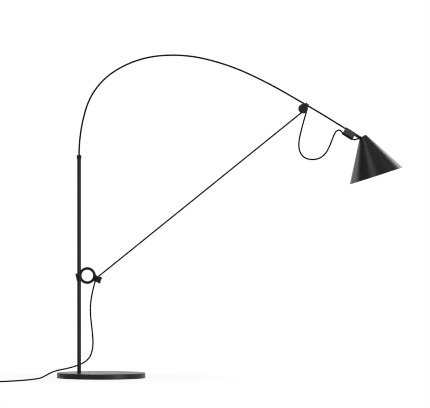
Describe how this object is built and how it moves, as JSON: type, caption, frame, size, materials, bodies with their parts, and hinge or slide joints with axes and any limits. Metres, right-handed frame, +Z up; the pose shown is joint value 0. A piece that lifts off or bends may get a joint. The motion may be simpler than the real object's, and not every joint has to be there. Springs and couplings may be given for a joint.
{
  "type": "adjustable arm floor lamp",
  "caption": "Floor lamp with a bowed springy rod on an off-centre tube, held by its own tight cord between a ring slider and a rod slider, and a tilting cone shade.",
  "frame": {"origin": "centre of the round base, on the floor", "axes": "+X along the arm towards the shade, +Z up, Y across the arm's plane"},
  "size_m": [1.5868, 0.7066, 1.2075],
  "materials": {
    "pad_rubber": "matt",
    "weight_iron": "cast",
    "black_steel": "satin black powder coat",
    "plain_steel": "zinc plated",
    "black_plastic": "fine matt grain",
    "grey_plastic": "fine matt grain",
    "bush_plastic": "smooth",
    "ferrule_brass": "turned",
    "rod_fibre": "smooth drawn glass fibre",
    "black_rubber": "matt",
    "black_screw": "black oxide",
    "shade_lacquer": "satin black lacquer outside, white inside",
    "bulb_brass": "plain",
    "bulb_white": "opal",
    "cord_fabric": "braided textile sleeve"
  },
  "bodies": {
    "stand": {"base_pad": "pad_rubber", "base_weight": "weight_iron", "base_cover": "black_steel", "foot_bolt": "plain_steel", "foot_washer": "plain_steel", "tube_plug": "plain_steel", "tube": "black_steel", "tube_collar": "black_plastic", "upper_bush": "bush_plastic", "lower_bush": "bush_plastic", "thrust_plug": "bush_plastic", "lower_cord": "cord_fabric", "floor_cord": "cord_fabric", "cord_coil": "cord_fabric", "cord_tie": "black_rubber", "plug_boot": "black_rubber", "plug_body": "black_plastic", "plug_pins": "plain_steel"},
    "arm_foot": {"rod_ferrule": "ferrule_brass", "rod_root": "rod_fibre"},
    "arm_bow": {"rod_bow": "rod_fibre"},
    "ring": {"ring_slider": "black_plastic", "slider_liner": "bush_plastic", "cord_clamp_cap": "black_plastic", "cord_clamp_pad": "black_rubber", "cord_clamp_screws": "black_screw"},
    "tight_cord": {"cord_eye": "black_rubber", "taut_cord": "cord_fabric"},
    "rod_slider": {"slider_front_cheek": "black_plastic", "slider_back_cheek": "black_plastic", "slider_core": "black_plastic", "cord_post": "black_plastic", "slider_screws": "black_screw", "loop_cord": "cord_fabric"},
    "head": {"head_sleeve": "black_steel", "housing_front": "grey_plastic", "housing_back": "grey_plastic", "housing_screws": "black_screw", "sleeve_clamp_screw": "black_screw", "cord_gland": "black_rubber", "switch_module": "bush_plastic", "shade_tail": "cord_fabric"},
    "button": {"switch_button": "black_plastic"},
    "shade": {"shade_cone": "shade_lacquer", "shade_nose": "black_plastic", "tilt_pin": "black_screw", "tilt_nut": "black_screw", "tilt_washers": "bush_plastic", "shade_lock_ring": "black_plastic", "lamp_holder": "black_plastic", "bulb_cap": "bulb_brass", "bulb_neck": "bulb_white", "bulb_globe": "bulb_white"}
  },
  "joints": [
    {"name": "arm_swivel", "type": "hinge", "parent": "stand", "child": "arm_foot", "pos_m": [-0.0823, 0, 0.7078], "axis": [0, 0, 1], "range_deg": [-90, 90], "deforming": ["lower_cord"]},
    {"name": "ring_slide", "type": "slide", "parent": "arm_foot", "child": "ring", "axis": [0, 0, 1], "range_m": [-0.09, 0.09], "deforming": ["lower_cord", "taut_cord"]},
    {"name": "rod_flex", "type": "hinge", "parent": "arm_foot", "child": "arm_bow", "pos_m": [-0.06054, 0, 0.99052], "axis": [0, 1, 0], "range_deg": [-6.32, 6.32]},
    {"name": "cord_swing", "type": "hinge", "parent": "ring", "child": "tight_cord", "pos_m": [-0.01993, 0, 0.37097], "axis": [0, 1, 0], "range_deg": [-1.63, 0.83]},
    {"name": "slider_slide", "type": "slide", "parent": "arm_bow", "child": "rod_slider", "axis": [0.8652, 0, -0.5014], "range_m": [-0.03, 0.015], "deforming": ["taut_cord", "loop_cord"]},
    {"name": "head_twist", "type": "hinge", "parent": "arm_bow", "child": "head", "pos_m": [0.91076, 0, 0.93057], "axis": [0.85, 0, -0.5268], "range_deg": [-45, 45], "deforming": ["loop_cord"]},
    {"name": "switch_press", "type": "slide", "parent": "head", "child": "button", "axis": [0, -1, 0], "range_m": [0, 0.0008], "stiffness_N_per_m": 600, "springref_m": -0.001},
    {"name": "shade_tilt", "type": "hinge", "parent": "head", "child": "shade", "pos_m": [0.95751, 0, 0.9016], "axis": [0, 1, 0], "range_deg": [-40, 35], "deforming": ["shade_tail"]}
  ],
  "couplings": [
    {"joint": "rod_flex", "follows": "ring_slide", "rad_per_m": -1.2212},
    {"joint": "cord_swing", "follows": "slider_slide", "rad_per_m": 0.9384}
  ]
}
